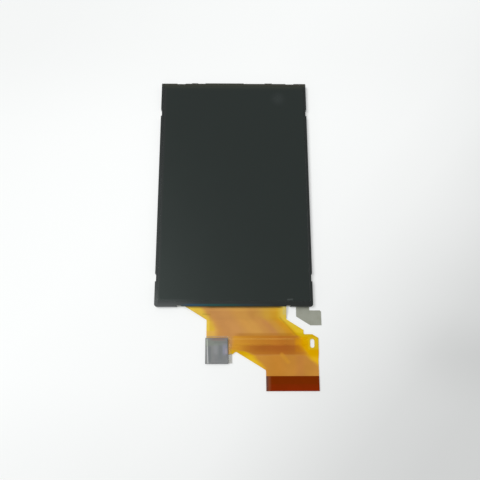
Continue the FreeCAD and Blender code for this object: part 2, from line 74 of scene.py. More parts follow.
# Light: a pale room that gloss and metal show, its even fill, and one soft window high on the left
sky_level = 0.76
horizon_level = 0.86
horizon_height = 0.45
fill_level = 0.35
room_tint = (0.985, 1.0, 0.995, 1)
window_direction = (-0.43, 0.09, 1.0)
window_level = 3.0
window_tightness = 38.0
lamp_strength = 2.23
lamp_angle = 28.0

# Floor, in metres, pale with a slow fall of tone towards the lower right, painted falloff and shade of the
# room's light: the fall's direction, and places along it in millimetres with the level there
floor_size = 6.0
floor_fall = (0.55, -0.45, 0.0)
floor_tones = ((-1600, 0.86), (-750, 0.875), (-300, 0.91), (-60, 0.96), (-32, 0.988), (-14, 0.992),
               (6, 0.965), (22, 0.93), (36, 0.86), (46, 0.76), (60, 0.65), (110, 0.60), (200, 0.70),
               (330, 0.79), (650, 0.84), (1300, 0.86))
floor_tint = (0.992, 1.004, 1.0)
floor_glow = 0.4

# Floor's wide soft patches of painted shade and painted light: where they start or end in X, their run and
# its edge in Y, and the share of black or white over them
floor_left = (0, -40)
floor_right = (42, 66)
floor_right_end = (80, 140)
floor_top = (35, 200, 20)
floor_top_dim = 0.035
floor_low = (-150, -68, 14)
floor_low_dim = 0.03
floor_lift = (-20, 8, 14)
floor_right_lift = 0.09
floor_shade = (-58, -42, 9)
floor_right_dim = 0.08

# Panel's rim: its opening, the width of the bright punched edge round it, bare steel with a painted
# highlight, with the runs along Y and their soft edge where the painted highlight shows, and where the coat
# turns brown towards the top
window_half = 22.15
window_top = 35.15
window_bottom = -34.50
punched_edge = 0.09
bright_right = (-33, 13, 3)
bright_left = (-1.2, 3.8, 1.0)
brown_top = (34.7, 35.2)

# Fine patterns, and how far the LEDs are yellow behind their front
prism_pitch = 0.05
led_trace_pitch = 0.5
led_yellow_depth = 0.13
weave_pitch = 0.16

# Painted highlight at the panel's lower left corner, standing in for the window's reflection in the rim and
# face: its tone, its corner and reach in plan, the shares of the reach between which it fades, the runs over
# which its low part and its left part begin, and places up the left side with the share there
highlight_tone = (0.064, 0.068, 0.068, 1)
highlight_corner = (-22.4, -35.4)
highlight_reach = (14.0, 7.5)
highlight_spread = (0.25, 1.05)
highlight_low = (-33.7, -36.0)
highlight_side = (-22.05, -21.75)
highlight_rise = ((-36.0, 1.0), (-34.6, 0.95), (-33.7, 0.80), (-31.3, 0.46), (-28.4, 0.28), (-24.8, 0.15),
             (0.0, 0.13), (20.0, 0.0))

# Soft rectangles in plan: runs along X and Y, and the soft edge, with that along Y where it differs
# Painted blue-green reflection along the rim's lower fold
fold_reflection = ((-14.6, 11.0), (-36.1, -35.3), 1.0, 0.12)
above_gasket = ((-9.0, -3.0), (-44.7, -42.9), 0.3)
inner_spot = ((-5.4, -3.6), (-44.3, -41.9), 0.4)
# Painted shade in a line across the circuit, just above its fold line
crease_shade = ((0.6, 17.0), (-44.45, -43.55), 1.2, 0.3)
# Painted highlight along the circuit's fold line
ridge_highlight = ((-3.0, 17.0), (-45.4, -45.0), 1.0, 0.15)
pale_corner = ((14.2, 16.0), (-38.3, -35.0), 0.25)
gasket_edge = ((-8.2, -1.7), (-44.75, -44.35), 0.15)
band_stroke = ((-2.5, 1.5), (-48.15, -47.55), 0.2)
band_gleam = ((-0.6, 4.6), (-48.5, -46.5), 0.35)
band_end = ((17.6, 20.0), (-48.9, -45.0), 0.5)
cloth_warm = ((-6.4, -2.2), (-45.8, -44.9), 1.2, 0.3)
cloth_line = ((-5.6, -1.9), (-46.5, -45.95), 0.25)
# Painted shade in a hollow of the cloth
hollow_shade = ((-4.3, -3.2), (-51.2, -46.9), 0.45, 0.7)
cloth_side = ((-7.3, -6.4), (-51.8, -47.3), 0.3, 0.6)
cloth_light = ((-5.7, -4.5), (-49.6, -47.0), 0.5, 0.7)
cloth_cool = ((-3.1, -1.9), (-49.6, -47.0), 0.4, 0.7)
cloth_gleam = ((-2.4, -1.8), (-49.4, -47.9), 0.25)

# Strokes and spots in plan: start, end, width and soft edge
coat_chip = ((-22.09, -24.56), (-22.09, -24.56), 0.25, 0.1)
smudge = ((14.12, 30.70), (14.12, 30.70), 3.2, 1.536)
glint = ((15.65, -34.08), (16.96, -33.99), 0.40, 0.18)
shade_line = ((13.39, -39.10), (18.25, -44.47), 0.4, 0.2)
gold_patch = ((13.73, -49.66), (15.45, -51.70), 1.0, 0.45)
dark_stroke = ((-8.87, -38.15), (-6.86, -38.29), 0.35, 0.17)
# Painted glint on the cloth's sloped left shoulder
fold_glint = ((-7.64, -45.3), (-7.30, -52.3), 0.30, 0.10)

# Main circuit: places along Y and the copper's left and right boundary there, in X
copper_left = ((-35.5, -10.4), (-37.2, -8.6), (-38.0, -8.2), (-39.2, -6.9), (-40.3, -6.2), (-41.5, -5.6),
               (-42.65, -4.9), (-44.5, -5.0), (-46.5, -3.0), (-47.4, -2.8), (-47.9, -2.0), (-48.35, 1.0),
               (-48.7, 3.4), (-49.2, 4.8), (-50.0, 5.9), (-50.6, 6.2), (-51.1, 6.6), (-51.7, 7.3),
               (-52.3, 7.9), (-52.9, 8.3), (-53.4, 8.8), (-55.0, 8.3), (-60.0, 8.3))
copper_right = ((-35.5, 13.15), (-39.2, 13.15), (-40.3, 14.7), (-41.5, 15.95), (-42.65, 17.1), (-44.1, 18.35),
                (-45.0, 18.9), (-46.9, 18.9), (-48.1, 19.7), (-49.2, 20.6), (-50.0, 21.2), (-51.2, 22.2),
                (-52.3, 23.8), (-53.4, 24.7), (-60.0, 25.0))
copper_edge = 1.1
trace_count = 44

# Band where the tape below the circuit shows through, with painted shade of the fold line's lower slope
# in its deep lower part: the run along Y of the whole band and of its deep lower part, and places along X
# with the share of the tape's tone there
band_y = (-49.6, -44.3)
deep_band_y = (-47.95, -47.00)
band_shares = ((-1.0, 0.0), (0.5, 0.04), (2.6, 0.19), (3.5, 0.26), (4.4, 0.34), (5.2, 0.38), (7.0, 0.46),
               (14.0, 0.73), (17.5, 0.62), (19.0, 0.48), (22.0, 0.35))
deep_shares = ((0.5, 0.0), (1.5, 0.1), (4.0, 0.5), (9.0, 0.74), (15.0, 0.74), (17.0, 0.64), (19.0, 0.50),
               (22.0, 0.3))


def srgb(red, green, blue):
    """Linear colour of a colour as a screen shows it, 0 to 255."""
    def linear(value):
        share = value / 255
        return share / 12.92 if share <= 0.04045 else ((share + 0.055) / 1.055) ** 2.4
    return linear(red), linear(green), linear(blue), 1.0


def grey(level):
    """Neutral colour of one level."""
    return level, level, level, 1.0


class Graph:
    """A node tree, with short calls for the nodes that a material and the room share."""

    def __init__(self, tree):
        self.tree = tree

    def feed(self, socket, value):
        """Links a socket, or gives it a constant."""
        if isinstance(value, bpy.types.NodeSocket):
            self.tree.links.new(value, socket)
        else:
            socket.default_value = value

    def split(self, vector):
        """X, Y and Z of a vector, as outputs."""
        node = self.tree.nodes.new("ShaderNodeSeparateXYZ")
        self.feed(node.inputs[0], vector)
        return node.outputs

    def vector(self, operation, first, second=None, scale=None):
        """Result of a vector operation."""
        node = self.tree.nodes.new("ShaderNodeVectorMath")
        node.operation = operation
        self.feed(node.inputs[0], first)
        if second is not None:
            self.feed(node.inputs[1], second)
        if scale is not None:
            self.feed(node.inputs["Scale"], scale)
        return node.outputs["Value" if operation in ("LENGTH", "DOT_PRODUCT") else "Vector"]

    def math(self, operation, first, second=0.0):
        """Result of an operation on one or two numbers."""
        node = self.tree.nodes.new("ShaderNodeMath")
        node.operation = operation
        self.feed(node.inputs[0], first)
        self.feed(node.inputs[1], second)
        return node.outputs[0]

    def remap(self, value, low, high, new_low=0.0, new_high=1.0, soft=True):
        """Value from one range to another, clamped, with a smooth or straight run between."""
        node = self.tree.nodes.new("ShaderNodeMapRange")
        node.interpolation_type = "SMOOTHSTEP" if soft else "LINEAR"
        for socket, number in zip(node.inputs, (value, low, high, new_low, new_high)):
            self.feed(socket, number)
        return node.outputs[0]

    def seen_rays(self):
        """One for the rays that show a thing, straight, in gloss or through glass, and zero for the rest."""
        path = self.tree.nodes.new("ShaderNodeLightPath")
        seen = path.outputs["Is Camera Ray"]
        for name in ("Is Glossy Ray", "Is Transmission Ray"):
            seen = self.math("MAXIMUM", seen, path.outputs[name])
        return seen


class Finish(Graph):
    """Nodes of one material, with short calls for what the finishes share."""

    def __init__(self, name):
        self.material = bpy.data.materials.new(name)
        self.material.use_nodes = True
        super().__init__(self.material.node_tree)
        self.shader = self.tree.nodes["Principled BSDF"]
        source = self.tree.nodes.new("ShaderNodeTexCoord").outputs["Object"]
        self.place = self.vector("SCALE", source, scale=1 / MM)
        self.x, self.y = self.split(self.place)[:2]

    def set(self, **values):
        """Feeds the shader's own sockets; an underscore stands for a space."""
        for name, value in values.items():
            self.feed(self.shader.inputs[name.replace("_", " ")], value)

    def plan(self, x, y):
        """Point in plan."""
        node = self.tree.nodes.new("ShaderNodeCombineXYZ")
        self.feed(node.inputs[0], x)
        self.feed(node.inputs[1], y)
        return node.outputs[0]

    def both(self, *masks):
        """Product of masks."""
        result = masks[0]
        for mask in masks[1:]:
            result = self.math("MULTIPLY", result, mask)
        return result

    def between(self, value, low, high, edge):
        """Mask of the values between two limits, with soft edges."""
        rise = self.remap(value, low - edge, low + edge)
        fall = self.remap(value, high - edge, high + edge, 1.0, 0.0)
        return self.both(rise, fall)

    def patch(self, x, y, edge, y_edge=None):
        """Mask of a soft-edged rectangle in plan, with an edge of its own along Y if one is given."""
        across = self.between(self.x, *x, edge)
        return self.both(across, self.between(self.y, *y, edge if y_edge is None else y_edge))

    def streak(self, start, end, width, edge):
        """Mask of a soft-edged stroke in plan between two points, or of a spot where they are one."""
        run = Vector((end[0] - start[0], end[1] - start[1], 0))
        offset = self.vector("SUBTRACT", self.plan(self.x, self.y), (start[0], start[1], 0))
        along = self.vector("DOT_PRODUCT", offset, tuple(run / max(run.length_squared, least_run)))
        along = self.remap(along, 0.0, 1.0, soft=False)
        foot = self.vector("SCALE", tuple(run), scale=along)
        away = self.vector("LENGTH", self.vector("SUBTRACT", offset, foot))
        return self.remap(away, width / 2 - edge, width / 2 + edge, 1.0, 0.0)

    def noise(self, scale, detail=2.0, roughness=0.5, stretch=None):
        """Noise of so many features a millimetre, which stretch squeezes along each axis."""
        node = self.tree.nodes.new("ShaderNodeTexNoise")
        place = self.vector("MULTIPLY", self.place, stretch) if stretch else self.place
        settings = {"Vector": place, "Scale": scale, "Detail": detail, "Roughness": roughness}
        for name, value in settings.items():
            self.feed(node.inputs[name], value)
        return node.outputs["Fac"]

    def waves(self, value, pitch):
        """Sine waves along a value, one pitch apart."""
        return self.math("SINE", self.math("MULTIPLY", value, 2 * math.pi / pitch))

    def ramp(self, value, stops, kind="EASE"):
        """Colour that changes along a value through stops of place and colour."""
        node = self.tree.nodes.new("ShaderNodeValToRGB")
        node.color_ramp.interpolation = kind
        low, high = stops[0][0], stops[-1][0]
        elements = node.color_ramp.elements
        for index, (place, colour) in enumerate(stops):
            share = (place - low) / (high - low)
            element = elements[index] if index < 2 else elements.new(share)
            element.position = share
            element.color = colour
        self.feed(node.inputs[0], self.remap(value, low, high, soft=False))
        return node.outputs[0]

    def curve(self, value, points):
        """Number that follows straight runs through points of place and number."""
        points = sorted(points)
        places = [place for place, _ in points]
        numbers = [number for _, number in points]
        node = self.tree.nodes.new("ShaderNodeFloatCurve")
        line = node.mapping.curves[0]
        span = max(numbers) - min(numbers)
        for index, (place, number) in enumerate(points):
            at = (place - places[0]) / (places[-1] - places[0])
            height = (number - min(numbers)) / span
            last = index == len(points) - 1
            end = line.points[0] if index == 0 else line.points[-1] if last else None
            knot = end or line.points.new(at, height)
            knot.location = (at, height)
            knot.handle_type = "VECTOR"
        node.mapping.update()
        self.feed(node.inputs["Value"], self.remap(value, places[0], places[-1], soft=False))
        return self.remap(node.outputs[0], 0.0, 1.0, min(numbers), max(numbers), soft=False)

    def mix(self, share, first, second, kind="MIX"):
        """Colour between two colours."""
        node = self.tree.nodes.new("ShaderNodeMix")
        node.data_type = "RGBA"
        node.blend_type = kind
        for index, value in ((mix_share, share), (mix_first, first), (mix_second, second)):
            self.feed(node.inputs[index], value)
        return node.outputs[mix_result]

    def tint(self, tone, colour, mask, share):
        """Tone with a colour laid over it in a mask, up to a share."""
        return self.mix(self.math("MULTIPLY", mask, share), tone, colour)

    def mottle(self, noise_value, first, second):
        """Colour that wanders between two with a noise."""
        return self.ramp(noise_value, ((noise_low, first), (noise_high, second)))

    def wander(self, noise_value, low, high):
        """Number that wanders between two with a noise."""
        return self.remap(noise_value, noise_low, noise_high, low, high)

    def relief(self, height, depth, after=None):
        """Normal of a relief that is so many millimetres deep."""
        node = self.tree.nodes.new("ShaderNodeBump")
        self.feed(node.inputs["Height"], height)
        node.inputs["Distance"].default_value = depth * MM
        if after is not None:
            self.feed(node.inputs["Normal"], after)
        return node.outputs["Normal"]


def painted_highlight_patch(f):
    """Mask of the painted highlight that spreads from the panel's lower left corner up its left edge."""
    shares = [f.math("DIVIDE", f.math("SUBTRACT", place, corner), reach)
              for place, corner, reach in zip((f.x, f.y), highlight_corner, highlight_reach)]
    spread = f.remap(f.vector("LENGTH", f.plan(*shares)), *highlight_spread, 1.0, 0.0)
    low_edge = f.both(spread, f.remap(f.y, *highlight_low, soft=False))
    left_edge = f.both(f.curve(f.y, highlight_rise), f.remap(f.x, *highlight_side, 1.0, 0.0))
    return f.math("MAXIMUM", low_edge, left_edge)


def black_coat():
    """Satin black coat: brown along the top, with painted highlights on the bare punched edge and the lower
    left corner, painted shade at the lower right and a painted blue-green reflection on the lower fold.
    """
    f = Finish("black_coat")
    broad = f.noise(0.25)
    side = f.math("SUBTRACT", f.math("ABSOLUTE", f.x), window_half)
    up = f.math("SUBTRACT", f.y, window_top)
    down = f.math("SUBTRACT", window_bottom, f.y)
    outside = f.math("MAXIMUM", side, f.math("MAXIMUM", up, down))
    edge = f.remap(outside, punched_edge * 0.5, punched_edge, 1.0, 0.0)
    # Painted highlight: the punched edge is bare steel, painted bright only along the runs where it catches
    # the window's light
    right_run = f.both(f.remap(f.x, window_half - 0.3, window_half), f.between(f.y, *bright_right))
    left_run = f.both(f.remap(f.x, -1, 0, 1.0, 0.0), f.between(f.y, *bright_left))
    lit_bare_edge = f.both(edge, f.remap(f.noise(1.6), 0.35, 0.6, 0.5, 1.0), f.math("MAXIMUM", right_run, left_run))
    # Painted shade: the coat is darker at the lower right and along the right edge, where less of the window
    # reflects
    shaded_low_right = f.both(f.remap(f.x, -8, 12), f.remap(f.y, -33.5, -34.8))
    shaded_low_right = f.math("MAXIMUM", shaded_low_right, f.math("MULTIPLY", f.remap(f.x, 21.9, 22.2), 0.5))
    coat = f.mottle(broad, (0.0070, 0.0078, 0.0080, 1), (0.0088, 0.0096, 0.0096, 1))
    coat = f.mix(shaded_low_right, coat, (0.0026, 0.0030, 0.0028, 1))
    brown = f.mix(f.remap(f.x, 0, 20), (0.022, 0.022, 0.014, 1), (0.027, 0.025, 0.017, 1))
    coat = f.mix(f.remap(f.y, *brown_top), coat, brown)
    # Painted highlight spreading from the lower left corner up the left edge
    coat = f.mix(painted_highlight_patch(f), coat, highlight_tone)
    chip = f.streak(*coat_chip)
    # Bare steel at the chip, and at the punched edge with its painted highlight
    bare = f.math("MAXIMUM", f.math("MULTIPLY", lit_bare_edge, 0.45), f.math("MULTIPLY", chip, 0.6))
    coat = f.mix(bare, coat, (0.085, 0.090, 0.092, 1))
    # Painted blue-green reflection on the lower fold of the rim
    fold_reflection_tone = f.ramp(f.x, ((-14.5, (0.030, 0.045, 0.060, 1)), (-12.3, (0.012, 0.044, 0.080, 1)),
                       (-9.4, (0.006, 0.042, 0.060, 1)), (-6.6, (0.002, 0.038, 0.036, 1)),
                       (-0.7, (0.001, 0.027, 0.024, 1)), (3.0, (0.004, 0.015, 0.020, 1)),
                       (8.0, (0.006, 0.010, 0.010, 1))))
    coat = f.mix(f.patch(*fold_reflection), coat, fold_reflection_tone)
    f.set(Base_Color=coat, Roughness=f.wander(broad, 0.33, 0.42))
    f.set(Specular_Tint=(0.90, 0.98, 0.96, 1), Specular_IOR_Level=0.39)
    f.set(Normal=f.relief(f.noise(7.0, 3.0), 0.0012))
    return f.material


def face_film():
    """Glossy face of the front polarizer, with a thumbed spot, a painted glint at its lower edge and painted
    highlights along its left edge and at its lower left corner.
    """
    f = Finish("face_film")
    thumbed = f.streak(*smudge)
    painted_glint = f.streak(*glint)
    black = (0.0012, 0.0026, 0.0022, 1)
    # Painted highlight along the face's left edge
    tone = f.mix(f.remap(f.x, -21.2, -21.8), black, (0.0070, 0.0062, 0.0068, 1))
    tone = f.mix(f.remap(f.y, 33.4, 34.2, 0.0, 0.3), tone, (0.0130, 0.0120, 0.0065, 1))
    tone = f.mix(f.remap(f.y, 34.2, 34.7), tone, (0.0122, 0.0120, 0.0062, 1))
    # Painted highlight at the face's lower left corner, joined to the one that spreads over the rim
    corner = f.both(f.remap(f.x, -22.15, -21.2, 0.55, 0.0), f.remap(f.y, -32.6, -34.2))
    tone = f.mix(f.math("MAXIMUM", painted_highlight_patch(f), corner), tone, highlight_tone)
    tone = f.tint(tone, (0.08, 0.085, 0.09, 1), thumbed, 0.10)
    # Painted glint at the lower edge
    f.set(Base_Color=f.tint(tone, (0.11, 0.12, 0.12, 1), painted_glint, 0.3))
    f.set(Roughness=f.math("ADD", f.wander(f.noise(0.12), 0.10, 0.14), f.math("MULTIPLY", thumbed, 0.15)))
    f.set(Specular_Tint=(0.86, 1.0, 0.95, 1))
    f.set(Normal=f.relief(f.noise(0.5, 1.0), 0.0010))
    return f.material


def cell_glass():
    """Thin display glass, faintly green through its edge."""
    f = Finish("cell_glass")
    f.set(Base_Color=f.mottle(f.noise(0.3), (0.62, 0.74, 0.70, 1), (0.68, 0.79, 0.75, 1)))
    f.set(Roughness=f.wander(f.noise(4.0), 0.03, 0.10), Transmission_Weight=0.85, IOR=1.52)
    return f.material


def polarizing_film():
    """Grey rear polarizer."""
    f = Finish("polarizing_film")
    f.set(Base_Color=f.mottle(f.noise(0.2), (0.15, 0.16, 0.16, 1), (0.18, 0.19, 0.185, 1)))
    f.set(Roughness=f.wander(f.noise(3.0), 0.12, 0.2))
    return f.material


def black_tape():
    """Matt black shading tape."""
    f = Finish("black_tape")
    f.set(Base_Color=f.mottle(f.noise(1.2), grey(0.012), grey(0.022)), Roughness=0.6)
    f.set(Normal=f.relief(f.noise(9.0, 3.0), 0.004))
    return f.material


def prism_film():
    """Bright film whose fine prisms run across it."""
    f = Finish("prism_film")
    ridges = f.waves(f.y, prism_pitch)
    f.set(Base_Color=f.mottle(f.noise(0.1), (0.70, 0.73, 0.76, 1), (0.78, 0.80, 0.82, 1)))
    f.set(Roughness=0.22, Normal=f.relief(ridges, 0.004))
    return f.material


def diffusing_film():
    """Matt white diffuser."""
    f = Finish("diffusing_film")
    f.set(Base_Color=f.mottle(f.noise(0.15), (0.85, 0.85, 0.84, 1), (0.88, 0.88, 0.87, 1)))
    f.set(Roughness=0.7, Normal=f.relief(f.noise(14.0, 2.0), 0.004))
    return f.material


def guide_acrylic():
    """Clear light guide with fine rougher spots."""
    f = Finish("guide_acrylic")
    f.set(Base_Color=f.mottle(f.noise(0.2), (0.84, 0.88, 0.88, 1), (0.90, 0.92, 0.92, 1)))
    f.set(Roughness=f.remap(f.noise(5.0), 0.4, 0.6, 0.04, 0.16), Transmission_Weight=0.8, IOR=1.49)
    return f.material


def reflecting_film():
    """Bright white reflector."""
    f = Finish("reflecting_film")
    f.set(Base_Color=f.mottle(f.noise(0.2), grey(0.86), grey(0.90)), Roughness=0.2)
    return f.material


def white_plastic():
    """Moulded white frame."""
    f = Finish("white_plastic")
    f.set(Base_Color=f.mottle(f.noise(0.5), (0.72, 0.72, 0.69, 1), (0.79, 0.79, 0.76, 1)))
    f.set(Roughness=f.wander(f.noise(2.0), 0.42, 0.55), Normal=f.relief(f.noise(11.0, 2.0), 0.002))
    return f.material


def bare_steel():
    """Dull rolled steel, with a fine lengthwise grain, faint rubs and a few scratches."""
    f = Finish("bare_steel")
    grain = f.noise(2.2, 4.0, 0.6, stretch=(4.0, 0.25, 1.0))
    rubs = f.noise(0.4, 3.0)
    scratches = f.remap(f.noise(1.1, 2.0, 0.5, stretch=(0.35, 6.0, 1.0)), 0.68, 0.74)
    tone = f.mottle(rubs, (0.318, 0.324, 0.268, 1), (0.352, 0.358, 0.304, 1))
    tone = f.tint(tone, (0.46, 0.47, 0.43, 1), scratches, 0.35)
    rough = f.math("ADD", f.wander(grain, 0.40, 0.50), f.wander(rubs, -0.03, 0.04))
    f.set(Base_Color=tone, Metallic=0.75, Roughness=rough, Normal=f.relief(grain, 0.0015))
    return f.material


def led_package():
    """Cream LED body with a yellow front, where the phosphor is."""
    f = Finish("led_package")
    yellow_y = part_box("led_1")[1].y / MM - led_yellow_depth
    front = f.remap(f.y, yellow_y - 0.02, yellow_y)
    body = f.mottle(f.noise(1.5), (0.78, 0.76, 0.66, 1), (0.84, 0.82, 0.72, 1))
    f.set(Base_Color=f.mix(front, body, (0.86, 0.68, 0.12, 1)), Roughness=0.4)
    return f.material


def chip_silicon():
    """Polished silicon back of the driver chip."""
    f = Finish("chip_silicon")
    f.set(Base_Color=f.mottle(f.noise(0.8), (0.07, 0.072, 0.085, 1), (0.11, 0.11, 0.125, 1)))
    f.set(Metallic=0.4, Roughness=f.wander(f.noise(4.0), 0.12, 0.22))
    return f.material


def sealing_silicone():
    """Pale grey bead that seals the circuit to the glass."""
    f = Finish("sealing_silicone")
    f.set(Base_Color=f.mottle(f.noise(1.0), (0.42, 0.42, 0.39, 1), (0.52, 0.52, 0.49, 1)))
    f.set(Roughness=0.28, Normal=f.relief(f.noise(2.0, 2.0), 0.02))
    return f.material


def bare_film(f):
    """Tone of the circuit's bare margins: the left one and the right one, with its locating slot."""
    left = f.ramp(f.y, ((-60, srgb(206, 152, 40)), (-54, srgb(214, 168, 20)), (-51.4, srgb(221, 180, 40)),
                        (-50.2, srgb(220, 176, 34)), (-49.6, srgb(213, 166, 20)), (-49.0, srgb(207, 160, 14)),
                        (-48.5, srgb(200, 149, 28)), (-47.5, srgb(202, 151, 46)), (-44, srgb(213, 170, 60)),
                        (-36, srgb(213, 171, 66))))
    outer_edge = f.remap(f.x, -7.2, -6.8, 1.0, 0.0)
    left = f.tint(left, srgb(228, 194, 76), outer_edge, 0.8)
    left = f.tint(left, srgb(219, 169, 88), f.patch(*above_gasket), 0.75)
    left = f.tint(left, srgb(214, 164, 86), f.patch(*inner_spot), 0.8)
    right = f.ramp(f.y, ((-60, srgb(218, 166, 40)), (-51, srgb(222, 172, 30)), (-49.6, srgb(213, 160, 2)),
                         (-47, srgb(211, 154, 0)), (-45, srgb(214, 162, 2)), (-43.9, srgb(206, 173, 22)),
                         (-43.0, srgb(223, 188, 42)), (-42, srgb(217, 185, 48)), (-40, srgb(216, 183, 62)),
                         (-38, srgb(216, 182, 72))))
    ear = f.both(f.remap(f.x, 20.9, 22.0), f.remap(f.y, -48.6, -47.8), f.remap(f.y, -44.4, -44.9))
    right = f.tint(right, srgb(209, 175, 32), ear, 0.9)
    return f.mix(f.remap(f.x, 4, 10), left, right)


def covered_copper(f, across):
    """Tone of the copper under the cover film: soft stripes on the body, and the tail."""
    body = f.ramp(across, (
        (0.00, srgb(197, 141, 77)), (0.12, srgb(192, 136, 81)), (0.27, srgb(196, 140, 82)),
        (0.45, srgb(202, 147, 76)), (0.53, srgb(200, 146, 75)), (0.64, srgb(192, 136, 72)),
        (0.73, srgb(189, 130, 74)), (0.83, srgb(196, 142, 60)), (0.92, srgb(200, 141, 42)),
        (1.00, srgb(204, 147, 10))))
    upper = f.both(f.remap(f.y, -40.8, -38.2), f.remap(across, 0.6, 0.76))
    body = f.tint(body, srgb(208, 172, 60), upper, 0.32)
    tail = f.ramp(f.x, ((7.0, srgb(193, 133, 57)), (12.2, srgb(190, 126, 50)), (16.6, srgb(188, 127, 54)),
                        (19.0, srgb(185, 122, 59)), (21.0, srgb(186, 127, 56)), (24.0, srgb(192, 132, 58))))
    return f.mix(f.remap(f.y, -50.2, -49.2, 1.0, 0.0), body, tail)


def tape_band(f, tone, copper):
    """Darkens the band where the tape below shows through the circuit; its deep lower part adds painted shade
    of the lower slope of the circuit's fold line, and a painted gleam lightens one patch.
    """
    low, high = band_y
    dark = f.curve(f.x, band_shares)
    deep = f.curve(f.x, deep_shares)
    band = f.both(f.between(f.y, low, high, 0.3), copper)
    tone = f.mix(f.both(band, f.remap(f.x, -1.0, 0.5)), tone, srgb(203, 143, 50))
    tone = f.tint(tone, srgb(190, 131, 45), f.patch(*band_stroke), 0.8)
    tone = f.mix(f.both(band, dark), tone, srgb(163, 86, 34))
    # Painted gleam on the band
    tone = f.tint(tone, srgb(206, 147, 42), f.patch(*band_gleam), 0.35)
    tone = f.tint(tone, srgb(206, 140, 0), f.patch(*band_end), 0.6)
    # Deep lower part: the tape's tone with painted shade of the lower slope of the fold line
    deep_low, deep_high = deep_band_y
    rise = f.remap(f.y, low, deep_low, 0.5, 1.0)
    lower = f.both(f.between(f.y, low - 0.2, deep_high, 0.35), rise, deep, copper)
    return f.mix(lower, tone, srgb(150, 76, 32))


def amber_flex():
    """Main circuit: bare amber film, copper under the cover film, and what shows through from below, with
    painted highlights and shade along its bends and the panel's painted shadow just below the panel.
    """
    f = Finish("amber_flex")
    left = f.curve(f.y, copper_left)
    right = f.curve(f.y, copper_right)
    from_left = f.math("SUBTRACT", f.x, left)
    from_right = f.math("SUBTRACT", right, f.x)
    copper = f.both(*(f.remap(inside, -copper_edge, copper_edge) for inside in (from_left, from_right)))
    across = f.math("DIVIDE", from_left, f.math("SUBTRACT", right, left))
    tone = f.mix(copper, bare_film(f), covered_copper(f, across))
    tone = tape_band(f, tone, copper)
    # Painted shade in a line across the circuit, just above its fold line
    tone = f.tint(tone, srgb(160, 98, 24), f.patch(*crease_shade), 0.45)
    # Painted highlight along the circuit's fold line
    tone = f.tint(tone, srgb(226, 176, 90), f.patch(*ridge_highlight), 0.25)
    # Painted highlight where the circuit bends down from the panel
    bend_highlight = f.between(f.y, -37.3, -37.0, 0.15)
    tone = f.tint(tone, srgb(226, 180, 100), bend_highlight, 0.12)
    # Painted shadow of the panel's edge on the circuit just below it, weaker at the left and at the right
    # margin
    under = f.both(f.remap(f.y, -36.75, -36.15), f.remap(f.x, -9.0, -6.5, 0.6, 0.88),
                   f.remap(f.x, 13.2, 14.4, 1.0, 0.35))
    tone = f.mix(under, tone, srgb(84, 68, 40))
    tone = f.tint(tone, srgb(196, 186, 122), f.patch(*pale_corner), 0.55)
    tone = f.tint(tone, srgb(176, 146, 120), f.patch(*gasket_edge), 0.75)
    tone = f.tint(tone, srgb(160, 112, 40), f.streak(*shade_line), 0.4)
    tone = f.tint(tone, srgb(202, 142, 47), f.streak(*gold_patch), 0.6)
    tone = f.tint(tone, srgb(150, 122, 40), f.streak(*dark_stroke), 0.4)
    cloud = f.noise(0.22, 2.0)
    tone = f.mix(0.5, tone, f.mottle(cloud, grey(0.46), grey(0.54)), kind="OVERLAY")
    height = f.both(f.remap(f.waves(across, 1 / trace_count), -0.5, 0.5), copper)
    f.set(Base_Color=tone, Specular_Tint=(1.0, 0.70, 0.0, 1))
    f.set(Roughness=f.wander(f.noise(0.7, 3.0), 0.30, 0.42))
    waves = f.relief(f.noise(0.3, 1.0), 0.05)
    f.set(Normal=f.relief(height, 0.003, f.relief(f.noise(10.0, 2.0), 0.001, waves)))
    return f.material


def led_circuit():
    """Thin amber circuit under the LEDs."""
    f = Finish("led_circuit")
    copper = f.remap(f.waves(f.x, led_trace_pitch), -0.3, 0.3)
    tone = f.mix(copper, srgb(206, 160, 40), srgb(186, 128, 58))
    f.set(Base_Color=f.mix(f.wander(f.noise(0.6), 0.0, 0.25), tone, srgb(170, 112, 40)))
    f.set(Roughness=0.36, Specular_Tint=(1.0, 0.72, 0.28, 1), Normal=f.relief(copper, 0.006))
    return f.material


def dark_polyimide():
    """Red-brown stiffener, dull along its left end and a little brighter towards its free edge."""
    f = Finish("dark_polyimide")
    plate = f.ramp(f.y, ((-59.5, srgb(119, 33, 5)), (-58.2, srgb(114, 34, 5)), (-57.6, srgb(106, 36, 3)),
                         (-55.4, srgb(104, 35, 2))))
    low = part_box("flex_stiffener")[0].x / MM
    # Paler purple-brown strip along the stiffener's left end
    left_strip = f.ramp(f.x, ((low, grey(0.85)), (low + 0.45, grey(0.8)), (low + 0.7, grey(0.45)),
                       (low + 1.1, grey(0.4)), (low + 1.6, grey(0.0))))
    dull = f.ramp(f.x, ((low, srgb(88, 66, 60)), (low + 0.5, srgb(96, 72, 64)),
                        (low + 0.75, srgb(136, 88, 60)), (low + 1.6, srgb(120, 60, 34))))
    tone = f.mix(left_strip, plate, dull)
    f.set(Base_Color=f.mix(f.wander(f.noise(0.5, 3.0), 0.0, 0.2), tone, srgb(92, 30, 2)))
    f.set(Roughness=f.wander(f.noise(1.2), 0.30, 0.42), Specular_Tint=(1.0, 0.18, 0.0, 1))
    f.set(Normal=f.relief(f.noise(6.0, 2.0), 0.002))
    return f.material


def adhesive_tape():
    """Thin tan adhesive strip."""
    f = Finish("adhesive_tape")
    f.set(Base_Color=f.mottle(f.noise(0.8), (0.36, 0.21, 0.11, 1), (0.44, 0.27, 0.15, 1)))
    f.set(Roughness=0.5, Normal=f.relief(f.noise(5.0), 0.004))
    return f.material


